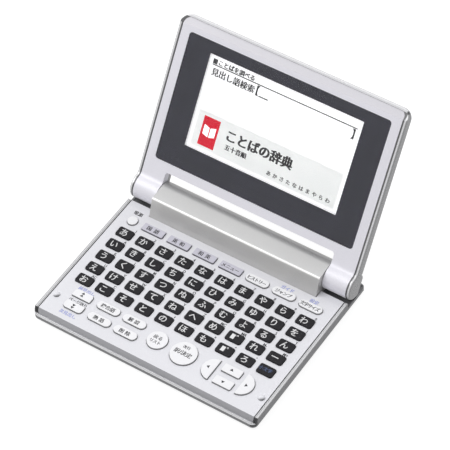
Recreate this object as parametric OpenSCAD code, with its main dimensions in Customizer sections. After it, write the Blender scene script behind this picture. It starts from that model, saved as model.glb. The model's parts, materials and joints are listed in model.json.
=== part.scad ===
/* [Overall] */
// Width of base and lid over their side walls
body_w = 110; // [108:1:124]
// Depth of the base, front to back
base_d = 84; // [84:1:96]
// Height of the keyboard panel above the desk
panel_h = 6.6; // [6.4:0.1:9]
// Angle between keyboard and screen as it stands
open_angle = 123.8; // [100:0.2:149]

/* [Base casing] */
// Wall of the moulded casings
wall = 1.2; // [1:0.1:1.3]
// Height of the rubber feet below the casing floor
foot_h = 0.5; // [0.4:0.1:1]
// Radius of a rubber foot
foot_r = 3; // [2:0.5:4]
// Depth of the pan under each lid knuckle, inside the casing's lip
knuckle_pan = 0.4; // [0.2:0.1:0.5]
// How much deeper the casing is under the hinge
rear_step = 0.3; // [0.1:0.1:0.3]
// Length of that deeper stretch
rear_step_l = 22.9; // [22:0.1:26]
// Rounding between side wall and floor
edge_r = 2.2; // [1.6:0.1:2.4]
// Plan radius of the front corners
corner_r = 2.6; // [2.4:0.1:4]
// Plan radius of the rear corners
rear_corner_r = 2; // [1:0.1:3]
// Width of the casing's own lip along the sides
lip_w = 0.9; // [0.8:0.05:1]
// Width of the bright strip inside that lip
strip_w = 0.65; // [0.5:0.05:0.8]
// Width of the lip along the front
front_lip_w = 0.6; // [0.5:0.05:0.8]
// Width of the bright strip along the front
front_strip_w = 0.5; // [0.4:0.05:0.7]
// Height of the bright strip
strip_h = 1.8; // [1.5:0.1:2.2]
// Groove between lip and strip
groove = 0.1; // [0.05:0.05:0.15]
// Gap between strip and keyboard panel
panel_gap = 0.2; // [0.1:0.05:0.25]
// How far the front bevel falls
bevel_drop = 2.5; // [2:0.1:2.6]
// Depth of the front bevel from ridge to foot
bevel_run = 1.2; // [0.8:0.1:1.6]

/* [Keyboard] */
// Thickness of the keyboard panel
panel_t = 1.2; // [1:0.1:1.3]
// Distance between character keys along a row
pitch_x = 10; // [9.4:0.1:10.2]
// Distance between rows of character keys
pitch_y = 7.3; // [6.9:0.1:7.4]
// Width of a character key
letter_w = 7.4; // [6.6:0.1:7.9]
// Depth of a character key
letter_d = 4.7; // [4:0.1:5]
// Corner radius of a character key
letter_r = 0.9; // [0.5:0.1:1.4]
// Distance from the base's front to the middle row of characters
front_to_rows = 38.7; // [38:0.1:39]
// Distance from the middle row to the row of mode keys
mode_row_up = 22; // [21.8:0.1:22.4]
// Distance from the middle row down to the upper command row
command_row_down = 21.95; // [21.6:0.05:22.2]
// Distance between the two command rows
command_pitch = 6.7; // [6.2:0.1:6.8]
// Play between a key and its well
key_play = 0.2; // [0.1:0.05:0.3]
// Rim that holds a key under the panel
rim_w = 0.5; // [0.3:0.05:0.5]
// Thickness of that rim
rim_t = 0.5; // [0.4:0.05:0.6]
// How high a key stands above the panel
key_rise = 0.7; // [0.4:0.05:0.8]
// How far a key travels
key_travel = 0.7; // [0.4:0.05:0.8]

/* [Hinge] */
// Hinge axis ahead of the base's rear wall
axis_in = 7.1; // [6.5:0.1:7.6]
// Hinge axis above the keyboard panel
axis_up = 3.5; // [3.5:0.05:4]
// Radius of the lid's knuckles
knuckle_r = 5.8; // [5.6:0.05:5.8]
// Radius of the hollow curve from the lid's face up to its knuckles
knuckle_blend_r = 3; // [2:0.1:3]
// Length of the fixed barrel between the knuckles
barrel_l = 83.6; // [80:0.2:86]
// Play between barrel and knuckles at each end
end_play = 0.25; // [0.15:0.05:0.4]
// Height of the barrel's front ridge above the panel
ridge_up = 8.6; // [8.2:0.05:8.8]
// Height of the barrel's rear top above the panel
barrel_top_up = 9.9; // [9.5:0.05:10]
// Front foot of the barrel ahead of the base's rear wall
barrel_foot_in = 17.5; // [17.2:0.1:17.8]
// Rounding of the barrel's front ridge
ridge_r = 1.3; // [0.8:0.1:2]
// Rounding of the barrel's rear
barrel_rear_r = 6.5; // [5:0.1:7]
// Radius of the steel hinge shafts
shaft_r = 1.5; // [1.2:0.1:1.8]
// Radial clearance of a shaft in its friction unit
shaft_play = 0.05; // [0.02:0.01:0.08]
// Outer radius of a friction unit
clutch_r = 4; // [3.4:0.1:4.2]

/* [Lid] */
// Length of the lid from the hinge axis
lid_l = 79; // [78:0.5:84]
// Thickness of the lid
lid_t = 6; // [5.8:0.1:6.6]
// Height of the lid's face in front of the hinge axis
face_up = 2.35; // [2.2:0.05:2.4]
// Hinge axis to the lower edge of the lid between its knuckles
notch_l = 11; // [10.8:0.1:11.5]
// Plan radius of the lid's outer corners
lid_corner_r = 4.3; // [4:0.1:6]
// Rounding of the lid's back edge
lid_edge_r = 2.2; // [1.6:0.1:2.3]
// Width of the lid's side rails
rail_w = 1.7; // [1.5:0.1:2]
// Rounding of the rails and of the hinge discs that they end in
rail_edge_r = 0.8; // [0.4:0.1:1]
// Width of the trim along the lid's outer end
end_trim_w = 0.8; // [0.6:0.1:1.1]
// How far the bevel at the lid's outer end falls
lid_bevel_drop = 2; // [1.5:0.1:2.2]
// Length of that bevel
lid_bevel_run = 2.9; // [2.2:0.1:3.4]
// Gap between bezel and rails
bezel_gap = 0.15; // [0.1:0.05:0.2]

/* [Display] */
// Width of the display window
window_w = 98; // [94:0.5:99]
// Hinge axis to the window's lower edge
window_u = 15.1; // [14.6:0.1:15.4]
// Height of the display window
window_h = 57.8; // [56:0.1:58.4]
// Corner radius of the window
window_r = 1.5; // [1:0.1:2.5]
// Thickness of the clear window
window_t = 0.5; // [0.4:0.05:0.6]
// Width of the visible display
view_w = 74.6; // [70:0.2:76]
// Hinge axis to the lower edge of the visible display
view_u = 25.8; // [25:0.1:26.5]
// Height of the visible display
view_h = 41.8; // [40:0.1:42.6]
// Thickness of the display glass
glass_t = 1.8; // [1.4:0.1:2]

/* [Power] */
// Diameter of the battery cell
cell_d = 10.5; // [10.1:0.1:10.5]
// Length of the battery cell
cell_l = 44.5; // [43.3:0.1:44.8]
// Width of the battery cover
cover_w = 52; // [50:0.5:53]

/* [Hidden] */
$fn = 64;

// Colours
silver = [0.72, 0.72, 0.74];
bright = [0.82, 0.82, 0.84];
pearl = [0.90, 0.90, 0.92];
champagne = [0.72, 0.72, 0.70];
slate = [0.27, 0.27, 0.30];
key_white = [0.95, 0.95, 0.96];
key_grey = [0.76, 0.76, 0.81];
key_dark = [0.17, 0.17, 0.19];
board_green = [0.10, 0.35, 0.22];
steel = [0.62, 0.62, 0.64];

// Overlap of cutting tools and of joined blocks
eps = 0.02;
// Seating clearance between fixed neighbours
seat = 0.05;
half_w = body_w / 2;

// Casing width, casing depth and lid length that the keyboard and display sizes are given for
drawn = [110, 84, 79];
// Keys, boards and display spread with the casing that holds them
wide = body_w / drawn[0];
deep = base_d / drawn[1];
tall = lid_l / drawn[2];
small = min(wide, deep);

// Places along the base, with y = 0 at its middle
front_y = -base_d / 2;
rear_y = base_d / 2;
panel_foot_y = front_y + front_lip_w + groove + front_strip_w + panel_gap;
panel_ridge_y = panel_foot_y + bevel_run;
strip_top_y = panel_foot_y - panel_gap;
axis_y = rear_y - axis_in;
axis_z = panel_h + axis_up;
barrel_foot_y = rear_y - barrel_foot_in;
panel_rear_y = axis_y - knuckle_r - 0.9;
step_y = rear_y - rear_step_l;
// Heights of the base, counted from the desk
floor_z = foot_h;
floor_in_z = floor_z + wall;
lip_front_z = panel_h - bevel_drop - 0.1;
ledge_front_z = lip_front_z + 0.1 - strip_h / 2;
knuckle_play = 0.3;
shelf_z = axis_z - knuckle_r - knuckle_play;
strip_edge = 0.3;

// Inner faces of the casing's layers, from the middle line
strip_half = half_w - lip_w - groove;
panel_half = strip_half - strip_w - panel_gap;
cavity_half = strip_half - strip_w - 0.35;
barrel_half = barrel_l / 2;
knuckle_in = barrel_half + end_play;
bezel_half = half_w - rail_w - bezel_gap;
rail_in = half_w - rail_w;

// The lid's own frame: x across, y along the lid from the hinge axis, z out of its face
back_n = face_up - lid_t;
bezel_t = 1.2;
trim_low_n = back_n + lid_edge_r;
bezel_end_u = lid_l - end_trim_w - bezel_gap;
bezel_ridge_u = bezel_end_u - lid_bevel_run;
lid_tilt = 180 - open_angle;
window_sink = 0.05;
mask_t = 0.05;

// The origin is the middle of the opened dictionary's footprint, at desk level
lid_reach = (lid_l - lid_edge_r) * cos(lid_tilt) - (back_n + lid_edge_r) * sin(lid_tilt) + lid_edge_r;
mid_y = (front_y + axis_y + lid_reach) / 2;

module in_base() translate([0, -mid_y, 0]) children();

module in_lid() in_base() translate([0, axis_y, axis_z]) rotate([lid_tilt, 0, 0]) children();

module both_sides() {
  children();
  mirror([1, 0, 0]) children();
}

// A drawing in y and z, drawn out along x from x0 over a length
module along_x(x0, length) translate([x0, 0, 0]) rotate([90, 0, 90]) linear_extrude(length) children();

module across(width) along_x(-width / 2, width) children();

// A straight upright piece between two heights
module upright(z0, z1) translate([0, 0, z0]) linear_extrude(z1 - z0) children();

function turn(v) = atan2(v[1], v[0]);
function heading(a) = [cos(a), sin(a)];
function half_turn(p, q, r) = let (a = turn(p - q), b = turn(r - q), d = (b - a + 720) % 360)
  d > 180 ? [a, (d - 360) / 2] : [a, d / 2];

// A convex outline, its points anticlockwise and its corners rounded by a list of radii, 0 for a sharp one
module soft_outline(points, radii) {
  n = len(points);
  bends = [for (i = [0:n - 1]) half_turn(points[(i + n - 1) % n], points[i], points[(i + 1) % n])];
  polygon([for (i = [0:n - 1])
    let (q = points[i], a = bends[i][0], h = bends[i][1], t = radii[i] / tan(abs(h)))
      each (radii[i] == 0 ? [q] : [q + t * heading(a), q + t * heading(a + 2 * h)])]);
  for (i = [0:n - 1])
    if (radii[i] > 0)
      translate(points[i] + radii[i] / sin(abs(bends[i][1])) * heading(bends[i][0] + bends[i][1]))
        circle(radii[i]);
}

// A rectangle with rounded corners, one radius for its far pair and one for its near pair
module soft_rect(w, d, far_r, near_r) soft_outline(
  [[-w / 2, -d / 2], [w / 2, -d / 2], [w / 2, d / 2], [-w / 2, d / 2]],
  [near_r, near_r, far_r, far_r]);

// A shell blank: lower edges rounded by r, near corners by corner, cut square at its far end
module tub(w, length, h, corner, r) {
  translate([0, length, 0]) rotate([90, 0, 0]) linear_extrude(length - corner) intersection() {
    soft_outline([[-w / 2, 0], [w / 2, 0], [w / 2, h + r], [-w / 2, h + r]], [r, r, 0, 0]);
    translate([-w / 2, 0]) square([w, h]);
  }
  across(w - 2 * corner) intersection() {
    soft_outline([[0, 0], [corner + r, 0], [corner + r, h + r], [0, h + r]], [r, 0, 0, 0]);
    square([corner + eps, h]);
  }
  both_sides() translate([w / 2 - corner, corner, 0]) rotate_extrude() intersection() {
    soft_outline([[-corner, 0], [corner, 0], [corner, h + r], [-corner, h + r]], [0, r, 0, 0]);
    square([corner, h]);
  }
}

// Plan of a layer of the base that is set in from the sides and from the front
module base_plan(side_in, front_in, rear_in, rear_r) {
  r = corner_r - side_in;
  x = half_w - side_in;
  soft_outline([[-x, front_y + front_in], [x, front_y + front_in],
    [x, rear_y - rear_in], [-x, rear_y - rear_in]],
    [r, r, rear_r, rear_r]);
}

// Top line of the base seen from the side: flat, over the bevel and along the front lip
function base_top(rear, down) = [[rear, panel_h - down], [panel_ridge_y + down / 2, panel_h - down],
  [panel_foot_y + down / 2, lip_front_z + 0.1 - down / 2], [panel_foot_y, lip_front_z - down / 2],
  [front_y - 1, lip_front_z - down / 2]];

screw_in = 4.1;
screw_x = half_w - screw_in;
front_screw_in = 5.5;
mid_screw_in = 42;
rear_screw_in = 62;
screw_ys = [front_y + front_screw_in, front_y + mid_screw_in * deep, front_y + rear_screw_in * deep];
screw_r = 0.7;
head_r = 1.3;
head_h = 0.6;
boss_r = 1.5;
boss_z = panel_h - 3.05;

module at_case_screws() both_sides() for (y = screw_ys) translate([screw_x, y, 0]) children();

foot_seat = 0.3;
front_foot_in = 10;
rear_foot_in = 6;
side_foot_in = 10;
front_foot_y = front_y + front_foot_in;
rear_foot_y = rear_y - rear_foot_in;
foot_x = half_w - side_foot_in;

module at_front_feet() both_sides() translate([foot_x, front_foot_y, 0]) children();

module at_rear_feet() both_sides() translate([foot_x, rear_foot_y, 0]) children();

// Battery bay under the barrel
cover_t = wall;
cover_z = floor_z - rear_step;
cover_d = 20.4;
cover_play = 0.15;
cover_front_y = rear_y - cover_d;
tongue_w = 1;
tongue_t = 0.6;
cell_y = rear_y - 8.3;
cell_z = axis_z - 1.5;
contact_t = 0.4;
contact_w = 7;
// The contacts and their end walls stand this far above the cell's middle
contact_up = 3;
contact_seat_w = contact_w + 1;
contact_play = 0.1;
bay_half = cell_l / 2 + contact_t + 2 * contact_play;
bay_front_y = cell_y - cell_d / 2 - 0.4;
bay_rear_y = cell_y + cell_d / 2 + 0.4;

module base_lower_case() color(silver) in_base() difference() {
  union() {
    difference() {
      intersection() {
        translate([0, front_y, floor_z]) tub(body_w, base_d, panel_h - floor_z, corner_r, edge_r);
        across(body_w + 2) polygon(concat(base_top(panel_rear_y, 0),
          [[front_y - 1, 0], [rear_y + 1, 0], [rear_y + 1, shelf_z], [panel_rear_y, shelf_z]]));
        upright(0, panel_h) base_plan(0, 0, 0, rear_corner_r);
      }
      intersection() {
        across(body_w) polygon(concat(base_top(rear_y, strip_h),
          [[front_y - 1, panel_h + 1], [rear_y, panel_h + 1]]));
        upright(0, panel_h + 1) base_plan(lip_w, front_lip_w, wall, 0);
        upright(0, 20) translate([-half_w, front_y]) square([body_w, panel_rear_y - front_y]);
      }
      intersection() {
        translate([0, front_y + 2, floor_in_z])
          tub(2 * cavity_half, base_d - 2 - wall, panel_h, corner_r - wall, edge_r - wall);
        across(body_w) polygon([[front_y, 0], [rear_y, 0], [rear_y, shelf_z - 1],
          [panel_rear_y - 1, shelf_z - 1],
          [panel_rear_y - 1, panel_h + 1], [front_y, panel_h + 1]]);
      }
      upright(floor_in_z, panel_h) translate([wall - barrel_half, panel_rear_y - 3])
        square([2 * barrel_half - 2 * wall, rear_y - wall - panel_rear_y + 3]);
      upright(shelf_z, panel_h) translate([-knuckle_in, panel_rear_y - 3]) square([2 * knuckle_in, 4]);
      both_sides() upright(shelf_z - knuckle_pan, panel_h) translate([knuckle_in, panel_rear_y])
        square([half_w - lip_w - knuckle_in, rear_y - lip_w - panel_rear_y]);
    }
    intersection() {
      translate([0, step_y, cover_z]) tub(body_w - 5, rear_step_l, wall, 2, 0.3);
      upright(0, panel_h) base_plan(0, 0, 0, rear_corner_r);
    }
    at_case_screws() upright(floor_in_z - eps, boss_z) circle(boss_r);
    at_board_posts() upright(floor_in_z - eps, board_z - board_t) circle(post_r);
    both_sides() {
      upright(floor_in_z - eps, cell_z + contact_up) translate([bay_half, cell_y - contact_seat_w / 2])
        square([wall, contact_seat_w]);
      upright(floor_in_z - eps, floor_in_z + 0.8) translate([bay_half, bay_front_y])
        square([cover_w / 2 + tongue_w + 0.3 - bay_half, bay_rear_y - bay_front_y]);
    }
  }
  at_case_screws() upright(0, panel_h) circle(screw_r + seat);
  at_case_screws() upright(0, floor_z + head_h + 0.2) circle(head_r + 0.15);
  at_front_feet() upright(0, floor_z + foot_seat) circle(foot_r);
  at_rear_feet() upright(0, floor_z + foot_seat) circle(foot_r);
  battery_bay_cut();
}

// Opening for the battery cover, with a ledge on each side that its tongues run on
module battery_bay_cut() {
  w = cover_w + 2 * cover_play;
  upright(0, cover_z + cover_t - tongue_t - cover_play) translate([-w / 2, cover_front_y - cover_play])
    square([w, cover_d + 2]);
  upright(cover_z + cover_t - tongue_t - cover_play - eps, cover_z + cover_t + cover_play)
    translate([-w / 2 - tongue_w, cover_front_y - cover_play]) square([w + 2 * tongue_w, cover_d + 2]);
  upright(0, panel_h) translate([-bay_half, bay_front_y]) square([2 * bay_half, bay_rear_y - bay_front_y]);
}

module rubber_feet() color([0.2, 0.2, 0.2]) in_base() {
  at_front_feet() upright(0, floor_z + foot_seat) circle(foot_r - seat);
  at_rear_feet() upright(0, floor_z + foot_seat) circle(foot_r - seat);
}

head_sink = 0.2;
recess_l = 1.4;
recess_w = 0.35;
recess_deep = 0.3;
module case_screws() color(steel) in_base() at_case_screws() difference() {
  union() {
    upright(floor_z + head_sink, floor_z + head_sink + head_h) circle(head_r);
    upright(floor_z + head_sink, panel_h - 1.9) circle(screw_r);
  }
  upright(0, floor_z + head_sink + recess_deep) square([recess_l, recess_w], center = true);
  upright(0, floor_z + head_sink + recess_deep) square([recess_w, recess_l], center = true);
}

module base_trim_frame() color(bright) in_base() intersection() {
  across(body_w) polygon(concat(base_top(panel_rear_y - 0.1, 0),
    [[front_y - 1, lip_front_z - strip_h / 2], [panel_foot_y, lip_front_z - strip_h / 2],
     [panel_foot_y + strip_h / 2, lip_front_z + 0.1 - strip_h / 2],
     [panel_ridge_y + strip_h / 2, panel_h - strip_h], [panel_rear_y - 0.1, panel_h - strip_h]]));
  upright(0, panel_h) difference() {
    base_plan(lip_w + groove, front_lip_w + groove, 0, 0);
    base_plan(lip_w + groove + strip_w, front_lip_w + groove + front_strip_w, -1, 0);
  }
}

// Keys: kind, x, y, width, depth, far and near corner radius. Half discs give their radius as width
rows_y = front_y + front_to_rows * deep;
mode_y = rows_y + mode_row_up * deep;
mode_pitch = 13.05;
mode_x = -35.4;
mode_w = 10.6;
mode_d = 3.8;
tool_w = 10.9;
option_w = 11;
option_d = 3.9;
option_pitch = 13;
page_w = 9;
arrow_w = 8.7;
arrow_d = 4;
arrow_x = 33.6;
arrow_side_r = 5.4;
command_y = rows_y - command_row_down * deep;
low_y = command_y - command_pitch * deep;
pad_y = (command_y + low_y) / 2;
page_x = -40.6;
option_x = -27.65;

oval_flat = 0.02;
arrow_side_x = 6.6;
power_x = -46.2;
power_d = 4.6;
back_x = -1.2;
back_d = 8.9;
enter_x = 11.8;
enter_d = 11.6;
page_r = 1.5;
arrow_r = 0.5;

// A key with straight sides, one with round ends and a round one, from their made sizes
function flat_spot(x, y, w, d, far_r, near_r) = ["rect", x * wide, y, w * wide, d * deep, far_r, near_r];
function oval_spot(x, y, w, d) = flat_spot(x, y, w, d, d * deep / 2 - oval_flat, d * deep / 2 - oval_flat);
function disc_spot(x, y, d) = ["round", x * wide, y, d * small];

function mode_spot(i) = flat_spot(mode_x + i * mode_pitch, mode_y, mode_w, mode_d, arrow_r, arrow_r);
function tool_spot(i) = oval_spot(mode_x + (i + 4) * mode_pitch, mode_y + 0.1, tool_w, mode_d);
function option_spot(i, j) = oval_spot(option_x + i * option_pitch, j == 0 ? command_y : low_y,
  option_w, option_d);
function letter_spot(i, j) = flat_spot((i - 4.5) * pitch_x, rows_y + (2 - j) * pitch_y * deep,
  letter_w, letter_d,
  letter_r, letter_r);
power_spot = disc_spot(power_x, mode_y - 0.1, power_d);
page_up_spot = flat_spot(page_x, command_y, page_w, option_d, page_r, 0.3);
page_down_spot = flat_spot(page_x, low_y, page_w, option_d, 0.3, page_r);
back_spot = disc_spot(back_x, pad_y + 0.35, back_d);
enter_spot = disc_spot(enter_x, pad_y + 0.3, enter_d);
arrow_left_spot = ["half", (arrow_x - arrow_side_x) * wide, pad_y - 0.1, arrow_side_r * small, -1];
arrow_right_spot = ["half", (arrow_x + arrow_side_x) * wide, pad_y - 0.1, arrow_side_r * small, 1];
arrow_up_spot = flat_spot(arrow_x, command_y - 0.1, arrow_w, arrow_d, arrow_r, arrow_r);
arrow_down_spot = flat_spot(arrow_x, low_y - 0.1, arrow_w, arrow_d, arrow_r, arrow_r);
all_spots = concat([power_spot, page_up_spot, page_down_spot, back_spot, enter_spot, arrow_left_spot,
    arrow_right_spot, arrow_up_spot, arrow_down_spot],
  [for (i = [0:3]) mode_spot(i)], [for (i = [0:2]) tool_spot(i)],
  [for (i = [0:1], j = [0:1]) option_spot(i, j)], [for (i = [0:9], j = [0:4]) letter_spot(i, j)]);

// Outline of a key, grown all round
module key_outline(spot, grow) translate([spot[1], spot[2]]) {
  if (spot[0] == "round") circle(spot[3] / 2 + grow);
  if (spot[0] == "rect") soft_rect(spot[3] + 2 * grow, spot[4] + 2 * grow, spot[5] + grow, spot[6] + grow);
  if (spot[0] == "half") intersection() {
    circle(spot[3] + grow);
    translate([spot[4] > 0 ? -grow : -20 + grow, -10]) square([20, 20]);
  }
}

key_seat = 0.05;
rim_top_z = panel_h - panel_t - key_seat;
stem_r = 1.1;

// A key cap: its top, a rim under the panel and a short stem over the contact
module key(spot, tint) color(tint) in_base() {
  upright(rim_top_z - eps, panel_h + key_rise) key_outline(spot, 0);
  upright(rim_top_z - rim_t, rim_top_z) key_outline(spot, rim_w);
}

module letter_column(i) for (j = [0:4]) key(letter_spot(i, j), i == 9 && j == 4 ? key_grey : key_dark);

bumper_in = 2.45;
bumper_down = 26.8;
bumper_x = panel_half - bumper_in;
bumper_y = rows_y - bumper_down * deep;
bumper_r = 1.6;
bumper_rise = 1;
bumper_pin_r = 0.8;

module at_bumpers() both_sides() translate([bumper_x, bumper_y, 0]) children();

module keyboard_panel() color(pearl) in_base() {
  intersection() {
    across(body_w) polygon([[panel_rear_y, panel_h], [panel_ridge_y, panel_h],
      [panel_foot_y, panel_h - bevel_drop],
      [panel_foot_y, ledge_front_z], [panel_foot_y + 0.8, ledge_front_z], [panel_ridge_y + 0.9, panel_h - panel_t],
      [panel_rear_y, panel_h - panel_t]]);
    upright(0, panel_h + 1) difference() {
      base_plan(half_w - panel_half, panel_foot_y - front_y, 0, 0);
      translate([-knuckle_in, barrel_foot_y - 0.1]) square([2 * knuckle_in, 2 * barrel_foot_in]);
      for (spot = all_spots) key_outline(spot, key_play);
      at_bumpers() circle(bumper_pin_r + seat);
    }
  }
  at_case_screws() difference() {
    upright(boss_z + seat, panel_h - panel_t + eps) circle(boss_r);
    upright(0, panel_h - panel_t - 0.3) circle(screw_r + eps);
  }
}

module lid_bumpers() color([0.75, 0.75, 0.76]) in_base() at_bumpers() {
  r = (bumper_r * bumper_r + bumper_rise * bumper_rise) / (2 * bumper_rise);
  intersection() {
    translate([0, 0, panel_h + bumper_rise - r]) sphere(r);
    upright(panel_h, panel_h + bumper_rise + 1) circle(bumper_r + 1);
  }
  upright(panel_h - panel_t, panel_h + eps) circle(bumper_pin_r);
}

sheet_z = panel_h - panel_t - key_seat - rim_t - key_travel - 0.2;
sheet_t = 0.4;
board_t = 0.8;
board_z = sheet_z - sheet_t;
board_half = screw_x - boss_r - 0.2;
board_front_y = panel_ridge_y + 1.6;
board_rear_y = barrel_foot_y - 1.5;
post_r = 1.2;
outer_post_x = 44;
inner_post_x = 14;
post_spots = [[outer_post_x, 12], [inner_post_x, 18], [outer_post_x, -20], [inner_post_x, -24]];

module at_board_posts() both_sides() for (spot = post_spots)
  translate([spot[0] * wide, rows_y + spot[1] * deep, 0]) children();

module board_plan() translate([-board_half, board_front_y])
  square([2 * board_half, board_rear_y - board_front_y]);

// From a half disc's flat side to the contact under it
half_disc_middle = 2.4;

module key_contact_sheet() color([0.85, 0.85, 0.82]) in_base() {
  upright(sheet_z - sheet_t, sheet_z) board_plan();
  for (spot = all_spots)
    translate([spot[1] + (spot[0] == "half" ? spot[4] * half_disc_middle * small : 0), spot[2]])
      upright(sheet_z - eps, sheet_z + 0.12) circle(stem_r);
}

// Chips under the board: place from the middle of the letter rows, and size
chip_t = 0.7;
processor = [-8, -6, 16, 14];
memory = [18, -4, 10, 8];
power_chip = [-30, -4, 8, 6];
crystal = [-38, 14, 3, 2];

module main_board() color(board_green) in_base() {
  upright(board_z - board_t, board_z) board_plan();
  upright(board_z - board_t - chip_t, board_z - board_t + eps)
    for (chip = [processor, memory, power_chip, crystal])
      translate([chip[0] * wide, rows_y + chip[1] * deep]) square([chip[2] * wide, chip[3] * deep]);
}

// Barrel profile: foot at the panel, leaning front face, ridge, top and rounded rear
barrel_low_z = panel_h - panel_t;
barrel_lean = 3.2;

module barrel_outer() intersection() {
  soft_outline([[barrel_foot_y, -panel_h], [rear_y, -panel_h], [rear_y, panel_h + barrel_top_up],
      [barrel_foot_y + barrel_lean, panel_h + ridge_up], [barrel_foot_y, panel_h]],
    [0, 0, barrel_rear_r, ridge_r, 0]);
  polygon([[barrel_foot_y, barrel_low_z], [panel_rear_y, shelf_z], [rear_y + 1, shelf_z],
    [rear_y + 1, 4 * panel_h], [barrel_foot_y - 1, 4 * panel_h], [barrel_foot_y - 1, barrel_low_z]]);
}

module barrel_inner() {
  soft_outline([[barrel_foot_y + wall, -panel_h], [rear_y - wall, -panel_h],
      [rear_y - wall, panel_h + barrel_top_up - wall - 0.1],
      [barrel_foot_y + barrel_lean + wall * 0.8, panel_h + ridge_up - wall], [barrel_foot_y + wall, panel_h]],
    [0, 0, barrel_rear_r - wall, 0, 0]);
}

module hinge_barrel_cover() color(champagne) in_base() difference() {
  across(barrel_l) barrel_outer();
  across(barrel_l - 2 * wall) barrel_inner();
  across(barrel_l + 2) translate([axis_y, axis_z]) circle(shaft_r + 0.4);
}

module battery_cell() color([0.35, 0.35, 0.37]) in_base() translate([0, cell_y, cell_z]) {
  along_x(-cell_l / 2, cell_l - 0.8) circle(cell_d / 2);
  along_x(cell_l / 2 - 0.8 - eps, 0.8 + eps) circle(1.9);
}

module battery_contacts() color(steel) in_base() {
  low = cell_z - cell_d / 2;
  both_sides() translate([cell_l / 2 + contact_play, cell_y - contact_w / 2, low])
    cube([contact_t, contact_w, cell_z + contact_up - low]);
}

// Grooves for the fingertip that slides the cover
grip_w = 14;
grip_pitch = 1.4;
grip_groove = 0.7;
grip_in = 3;

module battery_cover() color(silver) in_base() difference() {
  top = cover_z + cover_t;
  union() {
    upright(cover_z, top) translate([-cover_w / 2, cover_front_y]) square([cover_w, cover_d]);
    upright(top - tongue_t, top) translate([-cover_w / 2 - tongue_w, cover_front_y])
      square([cover_w + 2 * tongue_w, cover_d]);
  }
  for (i = [0:4])
    upright(0, cover_z + cover_t / 4) translate([-grip_w / 2, cover_front_y + grip_in + i * grip_pitch])
      square([grip_w, grip_groove]);
}

// Friction unit of one hinge, fixed to the base, and the shaft that turns in it
clutch_x0 = 27.5;
clutch_x1 = barrel_half - wall - 0.2;

module hinge_clutch() color(steel) in_base() difference() {
  union() {
    translate([0, axis_y, axis_z]) along_x(clutch_x0, clutch_x1 - clutch_x0) circle(clutch_r);
    translate([clutch_x0, axis_y - 2.5, floor_in_z]) cube([clutch_x1 - clutch_x0, 5, axis_z - floor_in_z]);
  }
  translate([0, axis_y, axis_z]) along_x(clutch_x0 - 1, clutch_x1) circle(shaft_r + shaft_play);
}

module hinge_clutch_left() mirror([1, 0, 0]) hinge_clutch();

module hinge_clutch_right() hinge_clutch();

module hinge_shaft() color(steel) in_lid() {
  along_x(clutch_x0 - 1.2, half_w - rail_w - 0.8 - clutch_x0 + 1.2) circle(shaft_r);
  along_x(clutch_x0 - 1.2, 0.9) circle(shaft_r + 1);
}

module hinge_shaft_left() mirror([1, 0, 0]) hinge_shaft();

module hinge_shaft_right() hinge_shaft();

// Plan of a layer of the lid, set in from the sides and from its outer end
notch_r = 1.2;

module lid_outline(side_in, end_in, start_u) {
  r = lid_corner_r - side_in;
  x = half_w - side_in;
  soft_outline([[-x, start_u], [x, start_u], [x, lid_l - end_in], [-x, lid_l - end_in]], [0, 0, r, r]);
}

// Side view of a lid knuckle: round, and flush with the lid's back
module knuckle_side(r) intersection() {
  circle(r);
  translate([-2 * r, back_n]) square([4 * r, 3 * r]);
}

// The hollow curve seen from the side: its centre, and the wedge that it is cut from
blend_n = face_up + knuckle_blend_r;
blend_u = sqrt(pow(knuckle_r + knuckle_blend_r, 2) - pow(blend_n, 2));
blend_share = knuckle_r / (knuckle_r + knuckle_blend_r);
module blend_wedge() polygon([[0, 0], [blend_u, 0], [blend_u, face_up],
  [blend_u * blend_share, blend_n * blend_share]]);

module lid_plan(side_in, end_in) difference() {
  lid_outline(side_in, end_in, 0);
  soft_outline([[-knuckle_in, -1], [knuckle_in, -1], [knuckle_in, notch_l], [-knuckle_in, notch_l]],
    [0, 0, notch_r, notch_r]);
}

// Top line of the lid seen from the side, from the hinge to the outer end
function lid_top(down) = [[-1, face_up - down], [bezel_ridge_u - down / 2, face_up - down],
  [bezel_end_u - down / 2, face_up - lid_bevel_drop - down / 2],
  [lid_l + 1, face_up - lid_bevel_drop - down / 2]];

window_wide = window_w * wide;
window_low = window_u * tall;
window_high = window_h * tall;
view_wide = view_w * wide;
view_low = view_u * tall;
view_high = view_h * tall;
lid_screw_in = 4;
lid_screw_x = window_wide / 2 - lid_screw_in;
lid_screw_us = [window_low + lid_screw_in, window_low + window_high - lid_screw_in + 0.5];

module at_lid_screws() both_sides() for (u = lid_screw_us) translate([lid_screw_x, u, 0]) children();

pocket_n = face_up - window_sink - window_t - mask_t;
skirt_t = 1;
lid_boss_r = 2.1;
lid_boss_n = 0.1;

module window_outline(grow) translate([0, window_low + window_high / 2])
  soft_rect(window_wide + 2 * grow, window_high + 2 * grow, window_r + grow, window_r + grow);

module view_outline(grow) translate([0, view_low + view_high / 2])
  square([view_wide + 2 * grow, view_high + 2 * grow], center = true);

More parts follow.
